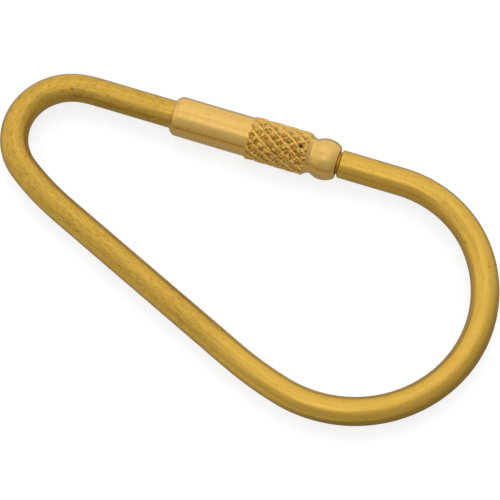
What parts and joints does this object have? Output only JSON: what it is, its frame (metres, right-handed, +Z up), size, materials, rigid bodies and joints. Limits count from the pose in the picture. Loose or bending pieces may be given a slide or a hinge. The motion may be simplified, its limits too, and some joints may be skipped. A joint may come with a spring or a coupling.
{
  "type": "screw key ring",
  "caption": "Pear-shaped brass key ring: a bent round rod whose two ends meet in a knurled screw barrel that unscrews and slides back to let keys on.",
  "frame": {"origin": "below the middle of the ring's outline, at the height of the knurl's lowest point, with the ring lying flat", "axes": "+X along the pear's long axis towards the big bow, +Y towards the arm with the barrel, +Z up, square to the ring's plane"},
  "size_m": [0.0758, 0.0402, 0.0062],
  "materials": {
    "drawn_brass": "drawn rod, satin, with fine lengthwise lines",
    "turned_brass": "turned, matt satin; diamond knurl on the sleeve",
    "inner_brass": "turned, plain"
  },
  "bodies": {
    "ring": {"wire_ring": "drawn_brass", "retaining_head": "inner_brass"},
    "slider": {"thrust_washer": "inner_brass"},
    "barrel": {"barrel_sleeve": "turned_brass", "bead_nut": "turned_brass"}
  },
  "joints": [
    {"name": "barrel_slide", "type": "slide", "parent": "ring", "child": "slider", "axis": [-0.9769, -0.2135, 0], "range_m": [0, 0.007]},
    {"name": "barrel_turn", "type": "hinge", "parent": "slider", "child": "barrel", "pos_m": [-0.01733, 0.0105, 0.0031], "axis": [-0.9769, -0.2135, 0], "range_deg": [0, 3600]}
  ],
  "couplings": [
    {"joint": "barrel_turn", "follows": "barrel_slide", "rad_per_m": 8976}
  ]
}
